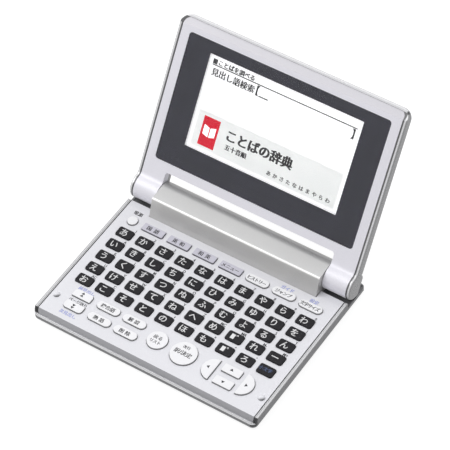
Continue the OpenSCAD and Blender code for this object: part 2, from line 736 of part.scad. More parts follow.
module lid_bezel() color(pearl) in_lid() difference() {
  union() {
    intersection() {
      across(body_w) polygon(concat(lid_top(0), [[lid_l + 1, trim_low_n], [-1, trim_low_n]]));
      upright(trim_low_n, face_up) lid_plan(rail_w + bezel_gap, end_trim_w + bezel_gap);
    }
    both_sides() along_x(knuckle_in, bezel_half - knuckle_in) union() {
      knuckle_side(knuckle_r);
      difference() {
        blend_wedge();
        translate([blend_u, blend_n]) circle(knuckle_blend_r);
      }
    }
  }
  difference() {
    intersection() {
      across(body_w) polygon([[notch_l + skirt_t, face_up - bezel_t],
        [bezel_ridge_u - 0.5, face_up - bezel_t],
        [bezel_end_u - skirt_t, face_up - lid_bevel_drop - 0.6], [bezel_end_u - skirt_t, trim_low_n - 1],
        [notch_l + skirt_t, trim_low_n - 1]]);
      upright(trim_low_n - 1, face_up) translate([skirt_t - bezel_half, 0])
        square([2 * (bezel_half - skirt_t), lid_l]);
    }
    at_lid_screws() upright(lid_boss_n + seat, face_up) circle(lid_boss_r);
  }
  upright(pocket_n, face_up + 1) window_outline(0);
  upright(trim_low_n - 1, face_up) view_outline(1.2);
  both_sides() along_x(knuckle_in - 1, bezel_half - knuckle_in + 0.5) circle(shaft_r + eps);
  at_lid_screws() upright(pocket_n - head_h, face_up) circle(head_r + 0.1);
  at_lid_screws() upright(trim_low_n - 1, face_up) circle(screw_r + seat);
}

// A disc at each end of the hinge, its outer rim rounded, cut flush with the lid's back
module hinge_disc() intersection() {
  rotate([0, 90, 0]) rotate_extrude() intersection() {
    soft_outline([[-knuckle_r, rail_in], [knuckle_r, rail_in], [knuckle_r, half_w], [-knuckle_r, half_w]],
      [0, 0, rail_edge_r, rail_edge_r]);
    translate([0, rail_in]) square([knuckle_r, rail_w]);
  }
  along_x(rail_in - 1, rail_w + 2) translate([-2 * knuckle_r, back_n]) square([4 * knuckle_r, 3 * knuckle_r]);
}

// The hollow curve from the rail up to its disc, rounded along its outer edge like both
module rail_blend() intersection() {
  along_x(rail_in, rail_w) blend_wedge();
  translate([0, blend_u, blend_n]) rotate([0, 90, 0]) rotate_extrude()
    soft_outline([[knuckle_blend_r, rail_in], [2 * knuckle_blend_r, rail_in], [2 * knuckle_blend_r, half_w],
      [knuckle_blend_r, half_w]], [0, 0, 0, rail_edge_r]);
}

module lid_trim_frame() color(bright) in_lid() union() {
  intersection() {
    across(body_w + 2) polygon(concat(lid_top(0), [[lid_l + 1, trim_low_n], [-1, trim_low_n]]));
    upright(trim_low_n, face_up) difference() {
      lid_outline(0, 0, 0);
      lid_outline(rail_w, end_trim_w, -1);
    }
    translate([0, lid_l, face_up]) mirror([0, 1, 0]) mirror([0, 0, 1])
      tub(body_w, lid_l + 1, lid_t, lid_corner_r, rail_edge_r);
  }
  both_sides() hinge_disc();
  both_sides() rail_blend();
}

module lid_back_cover() color(bright) in_lid() difference() {
  union() {
    difference() {
      intersection() {
        translate([0, lid_l, back_n]) mirror([0, 1, 0])
          tub(body_w, lid_l, trim_low_n - back_n - seat, lid_corner_r, lid_edge_r - seat);
        upright(back_n - 1, face_up) lid_plan(0, 0);
      }
      translate([0, lid_l - wall, back_n + wall]) mirror([0, 1, 0])
        tub(body_w - 2 * wall, lid_l - notch_l - 2 * wall, lid_t, lid_corner_r - wall, lid_edge_r - wall);
    }
    at_lid_screws() upright(back_n + wall - eps, lid_boss_n) circle(lid_boss_r);
  }
  at_lid_screws() upright(back_n + wall, face_up) circle(screw_r + eps);
  across(body_w + 2) circle(knuckle_r + 2 * seat);
}

module lid_screws() color(steel) in_lid() at_lid_screws() {
  upright(pocket_n - head_h, pocket_n - seat) circle(head_r);
  upright(back_n + wall + 0.3, pocket_n - seat) circle(screw_r);
}

module display_window() color([0.8, 0.85, 0.9, 0.3]) in_lid()
  upright(pocket_n + mask_t, face_up - window_sink) window_outline(-0.1);

module window_mask() color(slate) in_lid() upright(pocket_n, pocket_n + mask_t) difference() {
  window_outline(-0.1);
  view_outline(0);
}

glass_n = face_up - bezel_t - seat;

module display_glass() color([0.85, 0.87, 0.86]) in_lid() upright(glass_n - glass_t, glass_n) view_outline(2.2);

display_board_t = 0.6;
display_board_n = glass_n - glass_t - 0.1;
display_board_w = 76;
display_board_d = 18;
driver_x = -12;
driver_u = 5;
driver_w = 18;
driver_d = 6;
driver_t = 0.5;

module display_board() color(board_green) in_lid() {
  upright(display_board_n - display_board_t, display_board_n) translate([-display_board_w * wide / 2, view_low])
    square([display_board_w * wide, display_board_d * tall]);
  upright(display_board_n - display_board_t - driver_t, display_board_n - display_board_t + eps)
    translate([driver_x * wide, view_low + driver_u * tall]) square([driver_w * wide, driver_d * tall]);
}

ribbon_t = 0.15;
ribbon_x = 30;
ribbon_w = 8;
ribbon_l = 16;
ribbon_start = 2;

module display_ribbon() color([0.8, 0.5, 0.2]) in_lid()
  upright(display_board_n - display_board_t - ribbon_t, display_board_n - display_board_t)
    translate([ribbon_x * wide, notch_l + ribbon_start]) square([ribbon_w, ribbon_l * tall]);

module power_key() key(power_spot, key_white);
module mode_key_1() key(mode_spot(0), key_grey);
module mode_key_2() key(mode_spot(1), key_grey);
module mode_key_3() key(mode_spot(2), key_grey);
module mode_key_4() key(mode_spot(3), key_grey);
module tool_key_1() key(tool_spot(0), key_white);
module tool_key_2() key(tool_spot(1), key_white);
module tool_key_3() key(tool_spot(2), key_white);
module page_up_key() key(page_up_spot, key_white);
module page_down_key() key(page_down_spot, key_white);
module option_key_1() key(option_spot(0, 0), key_white);
module option_key_2() key(option_spot(1, 0), key_white);
module option_key_3() key(option_spot(0, 1), key_white);
module option_key_4() key(option_spot(1, 1), key_white);
module back_key() key(back_spot, key_white);
module enter_key() key(enter_spot, key_white);
module arrow_left_key() key(arrow_left_spot, key_white);
module arrow_right_key() key(arrow_right_spot, key_white);
module arrow_up_key() key(arrow_up_spot, key_white);
module arrow_down_key() key(arrow_down_spot, key_white);

base_lower_case();
rubber_feet();
case_screws();
base_trim_frame();
keyboard_panel();
lid_bumpers();
key_contact_sheet();
main_board();
hinge_barrel_cover();
battery_cell();
battery_contacts();
battery_cover();
hinge_clutch_left();
hinge_clutch_right();
hinge_shaft_left();
hinge_shaft_right();
lid_bezel();
lid_trim_frame();
lid_back_cover();
lid_screws();
display_window();
window_mask();
display_glass();
display_board();
display_ribbon();
power_key();
mode_key_1();
mode_key_2();
mode_key_3();
mode_key_4();
tool_key_1();
tool_key_2();
tool_key_3();
page_up_key();
page_down_key();
option_key_1();
option_key_2();
option_key_3();
option_key_4();
back_key();
enter_key();
arrow_left_key();
arrow_right_key();
arrow_up_key();
arrow_down_key();
letter_column(0);  // letter_column_1
letter_column(1);  // letter_column_2
letter_column(2);  // letter_column_3
letter_column(3);  // letter_column_4
letter_column(4);  // letter_column_5
letter_column(5);  // letter_column_6
letter_column(6);  // letter_column_7
letter_column(7);  // letter_column_8
letter_column(8);  // letter_column_9
letter_column(9);  // letter_column_10
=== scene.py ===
"""An opened electronic dictionary: finishes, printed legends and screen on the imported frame."""

import json
import math

import bmesh
import bpy
from mathutils import Matrix, Vector


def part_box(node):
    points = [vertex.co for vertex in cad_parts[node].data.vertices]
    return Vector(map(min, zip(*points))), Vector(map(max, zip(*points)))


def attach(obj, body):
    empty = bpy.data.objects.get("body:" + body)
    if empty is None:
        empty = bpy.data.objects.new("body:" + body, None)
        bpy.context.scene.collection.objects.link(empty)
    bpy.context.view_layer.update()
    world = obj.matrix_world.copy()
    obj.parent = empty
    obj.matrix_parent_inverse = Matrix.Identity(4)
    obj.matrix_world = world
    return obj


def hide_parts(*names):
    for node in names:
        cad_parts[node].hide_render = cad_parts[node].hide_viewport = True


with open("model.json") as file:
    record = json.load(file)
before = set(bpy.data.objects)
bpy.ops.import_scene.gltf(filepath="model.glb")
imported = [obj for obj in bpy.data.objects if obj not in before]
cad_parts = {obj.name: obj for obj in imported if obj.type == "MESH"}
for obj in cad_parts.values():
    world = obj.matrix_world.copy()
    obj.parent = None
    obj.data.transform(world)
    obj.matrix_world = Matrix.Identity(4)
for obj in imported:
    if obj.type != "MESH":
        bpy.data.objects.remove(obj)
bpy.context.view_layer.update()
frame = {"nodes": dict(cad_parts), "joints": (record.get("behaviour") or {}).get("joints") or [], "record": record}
NODES = frame["nodes"]
BODY_OF = {n: b for b, ns in frame["record"]["behaviour"]["bodies"].items() for n in ns}
SLOT_OF = {p["node"]: p["material_slot"] for p in frame["record"]["subparts"]}
MM = 0.001
HINGE = next(j for j in frame["joints"] if j["name"] == "lid_hinge")
HINGE_AT = Vector(HINGE["pos_m"])
LID_TILT = math.radians(180.0 + HINGE["range_deg"][0])
LID_ALONG = Vector((0, math.cos(LID_TILT), math.sin(LID_TILT)))
LID_OUT = Vector((0, -math.sin(LID_TILT), math.cos(LID_TILT)))


def box_mm(node):
    """Low and high corner of a node's box, in millimetres."""
    return [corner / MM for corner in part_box(node)]


# Shader nodes

def link(tree, output, socket):
    tree.links.new(output, socket)


def feed(tree, value, socket):
    """Sets a number on a socket, or links another node's output to it."""
    if isinstance(value, (int, float)):
        socket.default_value = value
    else:
        link(tree, value, socket)


def math_node(tree, operation, first, second):
    node = tree.nodes.new("ShaderNodeMath")
    node.operation = operation
    feed(tree, first, node.inputs[0])
    feed(tree, second, node.inputs[1])
    return node.outputs[0]


def vector_node(tree, operation, first):
    node = tree.nodes.new("ShaderNodeVectorMath")
    node.operation = operation
    link(tree, first, node.inputs[0])
    return node


def around_zero(tree, value, reach):
    """A noise value of 0 to 1 turned into a swing of half the reach to each side of zero."""
    return math_node(tree, "MULTIPLY", math_node(tree, "SUBTRACT", value, 0.5), reach)


def ranged(tree, value, low, high, to_low, to_high):
    node = tree.nodes.new("ShaderNodeMapRange")
    for i, item in enumerate((value, low, high, to_low, to_high)):
        feed(tree, item, node.inputs[i])
    return node.outputs[0]


def noise(tree, coordinates, scale, detail=3.0, rough=0.5):
    node = tree.nodes.new("ShaderNodeTexNoise")
    link(tree, coordinates, node.inputs["Vector"])
    feed(tree, scale, node.inputs["Scale"])
    node.inputs["Detail"].default_value = detail
    node.inputs["Roughness"].default_value = rough
    return node.outputs["Fac"]


def scaled_colour(tree, colour, level):
    """A colour made lighter or darker by a level round 1."""
    node = vector_node(tree, "SCALE", colour)
    link(tree, level, node.inputs["Scale"])
    return node.outputs[0]


def bump(tree, height, strength, distance):
    node = tree.nodes.new("ShaderNodeBump")
    link(tree, height, node.inputs["Height"])
    feed(tree, strength, node.inputs["Strength"])
    feed(tree, distance, node.inputs["Distance"])
    return node.outputs["Normal"]


def bricks(tree, coordinates, colours, line, width, height):
    """Cells of two near colours with lines of a third between them, sizes in metres."""
    node = tree.nodes.new("ShaderNodeTexBrick")
    link(tree, coordinates, node.inputs["Vector"])
    for label, colour in zip(("Color1", "Color2", "Mortar"), colours):
        node.inputs[label].default_value = (*colour, 1)
    for label, value in (("Scale", 1.0), ("Mortar Size", line), ("Brick Width", width),
                         ("Row Height", height)):
        node.inputs[label].default_value = value
    return node


def object_place(tree):
    return tree.nodes.new("ShaderNodeTexCoord").outputs["Object"]


# Camera, lamps, world and floor

CAMERA_AT = (0.42102, -0.553784, 0.86487)
CAMERA_RIGHT = (0.83183, 0.55265, -0.05129)
CAMERA_UP = (-0.39797, 0.65832, 0.63893)
CAMERA_BACK = (0.38688, -0.51107, 0.76755)
FOCAL_PIXELS = 2651.58
PICTURE_PIXELS = 450
SENSOR = 36.0
NEAREST = 0.05
LAMP_TARGET = (0, 0.01, 0.02)
WHITE = (1, 1, 1)
WORLD_TINT = (0.97, 0.97, 1)
WORLD_LIGHT = 0.55
FLOOR_HALF = 2.2
FLOOR_BOUNCE = (0.42, 0.42, 0.42)
FLOOR_SHADOWED = (0.30, 0.30, 0.30)
FLOOR_GLOW = 0.84


def set_camera():
    data = bpy.data.cameras.new("camera")
    data.sensor_width = SENSOR
    data.lens = FOCAL_PIXELS / PICTURE_PIXELS * SENSOR
    data.clip_start = NEAREST
    camera = bpy.data.objects.new("camera", data)
    columns = [CAMERA_RIGHT, CAMERA_UP, CAMERA_BACK, CAMERA_AT]
    camera.matrix_world = Matrix([[c[i] for c in columns] for i in range(3)] + [[0, 0, 0, 1]])
    bpy.context.scene.collection.objects.link(camera)
    bpy.context.scene.camera = camera


def area_lamp(name, at, size, watts):
    data = bpy.data.lights.new(name, "AREA")
    data.shape = "RECTANGLE"
    data.size, data.size_y = size
    data.energy = watts
    lamp = bpy.data.objects.new(name, data)
    lamp.location = at
    aim = Vector(LAMP_TARGET) - Vector(at)
    lamp.rotation_euler = aim.to_track_quat("-Z", "Y").to_euler()
    bpy.context.scene.collection.objects.link(lamp)


def seen_directly(tree):
    """1 for camera, glossy and transmission rays, 0 for the light that falls on the object."""
    path = tree.nodes.new("ShaderNodeLightPath")
    seen = math_node(tree, "MAXIMUM", path.outputs["Is Camera Ray"], path.outputs["Is Glossy Ray"])
    return math_node(tree, "MAXIMUM", seen, path.outputs["Is Transmission Ray"])


def plain_shader(tree, kind, colour, strength=None):
    node = tree.nodes.new(kind)
    node.inputs["Color"].default_value = (*colour, 1)
    if strength is not None:
        node.inputs["Strength"].default_value = strength
    return node.outputs[0]


def lit_or_seen(tree, lighting, seen, output_kind):
    """One shader gives light to the object, the other is what camera and reflections see."""
    mix = tree.nodes.new("ShaderNodeMixShader")
    link(tree, seen_directly(tree), mix.inputs[0])
    link(tree, lighting, mix.inputs[1])
    link(tree, seen, mix.inputs[2])
    link(tree, mix.outputs[0], tree.nodes.new(output_kind).inputs["Surface"])


def set_world():
    world = bpy.data.worlds.new("studio")
    bpy.context.scene.world = world
    world.use_nodes = True
    tree = world.node_tree
    tree.nodes.clear()
    soft = plain_shader(tree, "ShaderNodeBackground", WORLD_TINT, WORLD_LIGHT)
    white = plain_shader(tree, "ShaderNodeBackground", WHITE, 1)
    lit_or_seen(tree, soft, white, "ShaderNodeOutputWorld")


def set_floor():
    mesh = bpy.data.meshes.new("studio_floor")
    half = FLOOR_HALF
    mesh.from_pydata([(-half, -half, 0), (half, -half, 0), (half, half, 0), (-half, half, 0)],
                     [], [(0, 1, 2, 3)])
    floor = bpy.data.objects.new("studio_floor", mesh)
    bpy.context.scene.collection.objects.link(floor)
    material = bpy.data.materials.new("white_sweep")
    material.use_nodes = True
    tree = material.node_tree
    tree.nodes.clear()
    matt = plain_shader(tree, "ShaderNodeBsdfDiffuse", FLOOR_BOUNCE)
    bright = tree.nodes.new("ShaderNodeAddShader")
    link(tree, plain_shader(tree, "ShaderNodeBsdfDiffuse", FLOOR_SHADOWED), bright.inputs[0])
    link(tree, plain_shader(tree, "ShaderNodeEmission", WHITE, FLOOR_GLOW), bright.inputs[1])
    lit_or_seen(tree, matt, bright.outputs[0], "ShaderNodeOutputMaterial")
    mesh.materials.append(material)


# Surface effects that several finishes share

COLOUR, NUMBER, ARROW = "NodeSocketColor", "NodeSocketFloat", "NodeSocketVector"
FINISH_OUTPUTS = [("Colour", COLOUR), ("Roughness", NUMBER), ("Normal", ARROW)]


def effect(name, inputs, outputs):
    """An empty node group with named sockets: (name, kind, default) in and (name, kind) out."""
    tree = bpy.data.node_groups.new(name, "ShaderNodeTree")
    for label, kind, value in inputs:
        socket = tree.interface.new_socket(name=label, in_out="INPUT", socket_type=kind)
        socket.default_value = value
    for label, kind in outputs:
        tree.interface.new_socket(name=label, in_out="OUTPUT", socket_type=kind)
    given, made = tree.nodes.new("NodeGroupInput"), tree.nodes.new("NodeGroupOutput")
    return tree, given.outputs, made.inputs


def add_swings(tree, first, second):
    return math_node(tree, "ADD", math_node(tree, "ADD", first, second), 1.0)


def make_metal_flake():
    """Metal flakes in a paint: a glitter of lighter and darker specks and a faint orange peel."""
    tree, given, made = effect("metal_flake", [
        ("Colour", COLOUR, (0.7, 0.7, 0.7, 1)), ("Flake Scale", NUMBER, 9000.0),
        ("Flake Contrast", NUMBER, 0.1), ("Roughness", NUMBER, 0.35), ("Peel", NUMBER, 0.05)],
        FINISH_OUTPUTS)
    place = object_place(tree)
    cells = tree.nodes.new("ShaderNodeTexVoronoi")
    link(tree, place, cells.inputs["Vector"])
    link(tree, given["Flake Scale"], cells.inputs["Scale"])
    speck = tree.nodes.new("ShaderNodeSeparateColor")
    link(tree, cells.outputs["Color"], speck.inputs[0])
    glitter = around_zero(tree, speck.outputs[0], given["Flake Contrast"])
    cloud = ranged(tree, noise(tree, place, 45.0, 2.0), 0.3, 0.7, -0.012, 0.012)
    level = add_swings(tree, glitter, cloud)
    link(tree, scaled_colour(tree, given["Colour"], level), made["Colour"])
    rough = around_zero(tree, speck.outputs[1], 0.12)
    link(tree, math_node(tree, "ADD", given["Roughness"], rough), made["Roughness"])
    peel = noise(tree, place, 900.0, 2.0)
    link(tree, bump(tree, peel, given["Peel"], 0.0002), made["Normal"])
    return tree


def make_moulded_grain():
    """The fine spark texture and uneven sheen of an injection moulded face."""
    tree, given, made = effect("moulded_grain", [
        ("Colour", COLOUR, (0.7, 0.7, 0.7, 1)), ("Grain Scale", NUMBER, 3500.0),
        ("Grain Depth", NUMBER, 0.1), ("Tone Drift", NUMBER, 0.02), ("Roughness", NUMBER, 0.45)],
        FINISH_OUTPUTS)
    place = object_place(tree)
    fine = noise(tree, place, given["Grain Scale"], 2.0, 0.6)
    broad = noise(tree, place, 60.0, 3.0, 0.55)
    drift = math_node(tree, "MULTIPLY", around_zero(tree, broad, 2.0), given["Tone Drift"])
    level = add_swings(tree, drift, around_zero(tree, fine, given["Tone Drift"]))
    link(tree, scaled_colour(tree, given["Colour"], level), made["Colour"])
    sheen = around_zero(tree, broad, 0.16)
    link(tree, math_node(tree, "ADD", given["Roughness"], sheen), made["Roughness"])
    link(tree, bump(tree, fine, given["Grain Depth"], 0.0001), made["Normal"])
    return tree


def make_drawn_metal():
    """Lines left by drawing or turning, along one axis of the piece."""
    tree, given, made = effect("drawn_metal", [
        ("Colour", COLOUR, (0.6, 0.6, 0.6, 1)), ("Line Scale", ARROW, (400.0, 9000.0, 9000.0)),
        ("Roughness", NUMBER, 0.3)], FINISH_OUTPUTS)
    stretched = vector_node(tree, "MULTIPLY", object_place(tree))
    link(tree, given["Line Scale"], stretched.inputs[1])
    lines = noise(tree, stretched.outputs[0], 1.0, 2.0, 0.6)
    level = ranged(tree, lines, 0.25, 0.75, 0.88, 1.1)
    link(tree, scaled_colour(tree, given["Colour"], level), made["Colour"])
    rough = ranged(tree, lines, 0.25, 0.75, -0.06, 0.08)
    link(tree, math_node(tree, "ADD", given["Roughness"], rough), made["Roughness"])
    link(tree, bump(tree, lines, 0.12, 0.00005), made["Normal"])
    return tree


TONE_INPUTS = ("Direction", "From", "To", "First Level", "Last Level")


def make_tone(name, coordinate, both_sides=False):
    """A level that runs along a direction, by a face's place or by the way that it faces."""
    tree, given, made = effect(name, list(zip(
        TONE_INPUTS, (ARROW, NUMBER, NUMBER, NUMBER, NUMBER), ((0.0, 0.0, 1.0), 0.0, 1.0, 1.0, 1.0))),
        [("Level", NUMBER)])
    source = tree.nodes.new("ShaderNodeTexCoord").outputs[coordinate]
    if both_sides:
        source = vector_node(tree, "ABSOLUTE", source).outputs[0]
    along = vector_node(tree, "DOT_PRODUCT", source)
    link(tree, given["Direction"], along.inputs[1])
    level = ranged(tree, along.outputs["Value"], *[given[label] for label in TONE_INPUTS[1:]])
    link(tree, level, made["Level"])
    return tree


TONE_BY_PLACE = make_tone("tone_by_place", "Object")
TONE_BY_FACING = make_tone("tone_by_facing", "Normal")
TONE_OUTWARD = make_tone("tone_outward", "Object", both_sides=True)
TONE_SIDEWAYS = make_tone("tone_sideways", "Normal", both_sides=True)
METAL_FLAKE = make_metal_flake()
MOULDED_GRAIN = make_moulded_grain()
DRAWN_METAL = make_drawn_metal()


# Finishes

def new_material(name):
    material = bpy.data.materials.new(name)
    material.use_nodes = True
    return material, material.node_tree, material.node_tree.nodes["Principled BSDF"].inputs


def finish_with(name, group, settings, **shader):
    """A material whose colour, roughness and normal come from one of the shared effects."""
    material, tree, surface = new_material(name)
    node = tree.nodes.new("ShaderNodeGroup")
    node.node_tree = group
    for label, value in settings.items():
        node.inputs[label.replace("_", " ")].default_value = value
    link(tree, node.outputs["Colour"], surface["Base Color"])
    link(tree, node.outputs["Roughness"], surface["Roughness"])
    link(tree, node.outputs["Normal"], surface["Normal"])
    for label, value in shader.items():
        surface[label.replace("_", " ")].default_value = value
    return material


def toned(material, group, direction, reach, levels):
    """Multiplies the colour of a finish by a level that runs along a direction: painted shade or highlight by
    place or facing.
    """
    tree = material.node_tree
    socket = tree.nodes["Principled BSDF"].inputs["Base Color"]
    colour = socket.links[0].from_socket
    node = tree.nodes.new("ShaderNodeGroup")
    node.node_tree = group
    for label, value in zip(TONE_INPUTS, (direction, *reach, *levels)):
        node.inputs[label].default_value = value
    link(tree, scaled_colour(tree, colour, node.outputs["Level"]), socket)
    return material


def grey(value, blue=0.0, red=0.0):
    """A grey with a little more blue or red than green."""
    return (value + red, value, value + blue, 1)


def flake_paint(name, colour, roughness=0.42, contrast=0.1, **shader):
    return finish_with(name, METAL_FLAKE, dict(
        Colour=colour, Flake_Scale=8000.0, Flake_Contrast=contrast, Roughness=roughness,
        Peel=0.04), **shader)


def moulding(name, colour, scale, depth, drift, roughness, **shader):
    return finish_with(name, MOULDED_GRAIN, dict(
        Colour=colour, Grain_Scale=scale, Grain_Depth=depth, Tone_Drift=drift,
        Roughness=roughness), **shader)


def bare_metal(name, colour, roughness, **lines):
    return finish_with(name, DRAWN_METAL, dict(Colour=colour, Roughness=roughness, **lines),
                       Metallic=1.0)


def make_ink(name, colour, roughness=0.5):
    return moulding(name, colour, 2600.0, 0.05, 0.06, roughness)


# Where the painted shade and highlight tones of the paints change, in metres: outward ones count from the middle
# line
ACROSS = (1.0, 0.0, 0.0)
BACKWARD = (0.0, 1.0, 0.0)
BUMPERS_LIT_FROM = (-0.55, 0.60, 0.58)
KEYS_LIT_FROM = (-0.25, 0.25, 0.93)
LIP_EDGE_SHADE = (0.0546, 0.0550)
RAIL_GAP_SHADE = (0.0537, 0.0542)
STRIP_GAP_SHADE = (0.0535, 0.0538)
BARREL_SHADE_SPAN = (0.0150, 0.0225)

PEARL_LOOK = dict(contrast=0.07, Metallic=0.12, Specular_IOR_Level=0.4)
PEARL = flake_paint("pearl_panel_paint", grey(0.775, 0.03), **PEARL_LOOK)
# Painted shade: a darker copy of the pearl paint for the panel's front bevel, which faces away from the light.
PEARL_SHADE = flake_paint("pearl_panel_front_painted_shade", grey(0.40, 0.015), **PEARL_LOOK)
BEZEL = flake_paint("pearl_bezel_paint", grey(0.83, 0.05, 0.01), **PEARL_LOOK)
# Painted shade: a darker copy of the bezel paint for the bevel at the lid's far end.
BEZEL_END_SHADE = flake_paint("pearl_bezel_end_painted_shade", grey(0.575, 0.03, 0.01), **PEARL_LOOK)
# Painted shade: the silver casing is painted far darker than its own colour, so that its side walls look shaded;
# the lit copy below paints its upward lip faces.
CASING = flake_paint("casing_silver_painted_shade", grey(0.18, 0.006), contrast=0.12, Metallic=0.35)
LID_BACK = flake_paint("lid_silver_paint", grey(0.36, 0.01), contrast=0.12, Metallic=0.35)
# Painted highlight: a lit copy of the casing paint for the upward lip faces, with painted shade darkening it
# towards the outer edge.
CASING_LIP_HIGHLIGHT = flake_paint("casing_lip_painted_highlight", grey(0.66, 0.01), 0.34, Metallic=0.3)
toned(CASING_LIP_HIGHLIGHT, TONE_OUTWARD, ACROSS, LIP_EDGE_SHADE, (1.0, 0.42))
# Painted shade: the rail is darkened along its inner edge, where the gap to the bezel lies, and on its side faces.
RAIL = flake_paint("rail_bright_painted_shade", grey(0.74, 0.01), 0.3, 0.06, Metallic=0.5)
toned(RAIL, TONE_OUTWARD, ACROSS, RAIL_GAP_SHADE, (0.14, 1.0))
toned(RAIL, TONE_SIDEWAYS, ACROSS, (0.25, 0.75), (1.0, 0.36))
# Painted highlight: a brighter copy of the rail paint for the lid's far end.
TRIM_END_HIGHLIGHT = flake_paint("trim_end_painted_highlight", grey(0.80, 0.01), 0.3, 0.05, Metallic=0.2)
# Painted reflection: near-black paint on the rounded corners stands for the dark surroundings that they reflect.
CORNER_REFLECTION = flake_paint("corner_painted_dark_reflection", grey(0.06, 0.002), 0.3, 0.06,
                          Metallic=0.5, Specular_IOR_Level=0.2)
# Painted shade: the strip is darkened along its inner edge, next to the gap beside the panel.
STRIP = flake_paint("strip_bright_metal_painted_shade", grey(0.70, 0.01), 0.34, 0.05, Metallic=0.5)
toned(STRIP, TONE_OUTWARD, ACROSS, STRIP_GAP_SHADE, (0.08, 1.0))
STRIP_FRONT = flake_paint("strip_front_bright", grey(0.78, 0.01), 0.34, 0.05, Metallic=0.2)
BARREL = flake_paint("barrel_champagne_paint", (0.60, 0.595, 0.58, 1), 0.36, Metallic=0.45)
# Painted shade: the barrel's top darkens towards its rear, where it curves away from the light.
BARREL_TOP_SHADE = flake_paint("barrel_top_painted_shade", (0.60, 0.60, 0.595, 1), 0.36, Metallic=0.45)
toned(BARREL_TOP_SHADE, TONE_BY_PLACE, BACKWARD, BARREL_SHADE_SPAN, (1.0, 0.34))
# Painted highlight: a bright paint along the barrel's front crest.
RIDGE_HIGHLIGHT = flake_paint("barrel_ridge_painted_highlight", (0.86, 0.855, 0.84, 1), 0.3, Metallic=0.2)

FOOT = moulding("foot_rubber_grey", grey(0.045), 2500.0, 0.25, 0.08, 0.75)
BUMPER = moulding("bumper_rubber_pale_painted_shade", grey(0.82, 0.03), 3000.0, 0.15, 0.05, 0.6)
# Painted shade: a dark crescent on the side of each bumper that faces away from the light.
toned(BUMPER, TONE_BY_FACING, BUMPERS_LIT_FROM, (-0.15, 0.3), (0.25, 1.0))
SILICONE = moulding("contact_silicone", grey(0.36, 0.02), 1800.0, 0.2, 0.06, 0.6)
RIBBON = moulding("ribbon_film_amber", (0.55, 0.30, 0.08, 1), 1500.0, 0.05, 0.05, 0.3)
CELL = moulding("cell_jacket_print", (0.10, 0.22, 0.34, 1), 1200.0, 0.04, 0.06, 0.28,
                Coat_Weight=0.3)
MASK = moulding("window_mask_ink", (0.030, 0.030, 0.044, 1), 2500.0, 0.02, 0.06, 0.5,
                Specular_IOR_Level=0.1)
KEY_BLACK = moulding("key_black_moulding", (0.012, 0.0115, 0.014, 1), 3000.0, 0.16, 0.12, 0.5,
                     Specular_IOR_Level=0.22)
KEY_GREY = moulding("key_grey_moulding_painted_shade", (0.60, 0.59, 0.66, 1), 3000.0, 0.1, 0.03, 0.42,
                    Specular_IOR_Level=0.4)
KEY_WHITE = moulding("key_white_moulding_painted_shade", (0.90, 0.90, 0.91, 1), 3000.0, 0.08, 0.02, 0.38,
                     Specular_IOR_Level=0.4)
# Painted shade: the grey and white keys darken on their side walls, which face away from the light.
for key_finish in (KEY_GREY, KEY_WHITE):
    toned(key_finish, TONE_BY_FACING, KEYS_LIT_FROM, (0.15, 0.75), (0.36, 1.0))

STEEL = bare_metal("spring_steel_drawn", grey(0.56, 0.01), 0.28)
GOLD = bare_metal("contact_gold_plate", (0.80, 0.60, 0.24, 1), 0.25)
SOLDER = bare_metal("solder_tin", (0.62, 0.62, 0.63, 1), 0.3, Line_Scale=(2500.0, 2500.0, 2500.0))

INK_WHITE = make_ink("ink_white", (0.80, 0.80, 0.80, 1))
INK_DARK = make_ink("ink_dark", (0.016, 0.016, 0.020, 1))
INK_GREY = make_ink("ink_grey", (0.05, 0.05, 0.055, 1))
INK_BLUE = make_ink("ink_pale_blue", (0.36, 0.40, 0.72, 1))
INK_DEEP_BLUE = make_ink("ink_deep_blue", (0.09, 0.13, 0.27, 1))


def make_painted_glow_dots(name, colour, strength):
    """A tone of the display: like an ink, but with a painted glow of its own colour, as the pale face behind it
    has.
    """
    material = make_ink(name, colour, 0.5)
    tree = material.node_tree
    surface = tree.nodes["Principled BSDF"].inputs
    link(tree, surface["Base Color"].links[0].from_socket, surface["Emission Color"])
    surface["Emission Strength"].default_value = strength
    surface["Specular IOR Level"].default_value = 0.1
    return material


DOTS_BLACK = make_ink("screen_black", (0.008, 0.008, 0.010, 1), 0.6)
DOTS_GREY = make_ink("screen_grey", (0.05, 0.05, 0.05, 1), 0.6)
DOTS_CARD = make_painted_glow_dots("screen_card_grey", (0.76, 0.775, 0.765, 1), 0.32)
DOTS_RED = make_painted_glow_dots("screen_crimson", (0.62, 0.0, 0.02, 1), 0.25)
DOTS_WHITE = make_painted_glow_dots("screen_white", (0.92, 0.92, 0.92, 1), 0.6)


def make_window():
    """Clear acrylic with a breath of haze."""
    material, tree, surface = new_material("window_clear_acrylic")
    surface["Base Color"].default_value = (0.985, 0.985, 0.99, 1)
    surface["Transmission Weight"].default_value = 1.0
    surface["IOR"].default_value = 1.3
    haze = noise(tree, object_place(tree), 60.0, 1.0, 0.5)
    link(tree, ranged(tree, haze, 0.35, 0.75, 0.0, 0.012), surface["Roughness"])
    return material


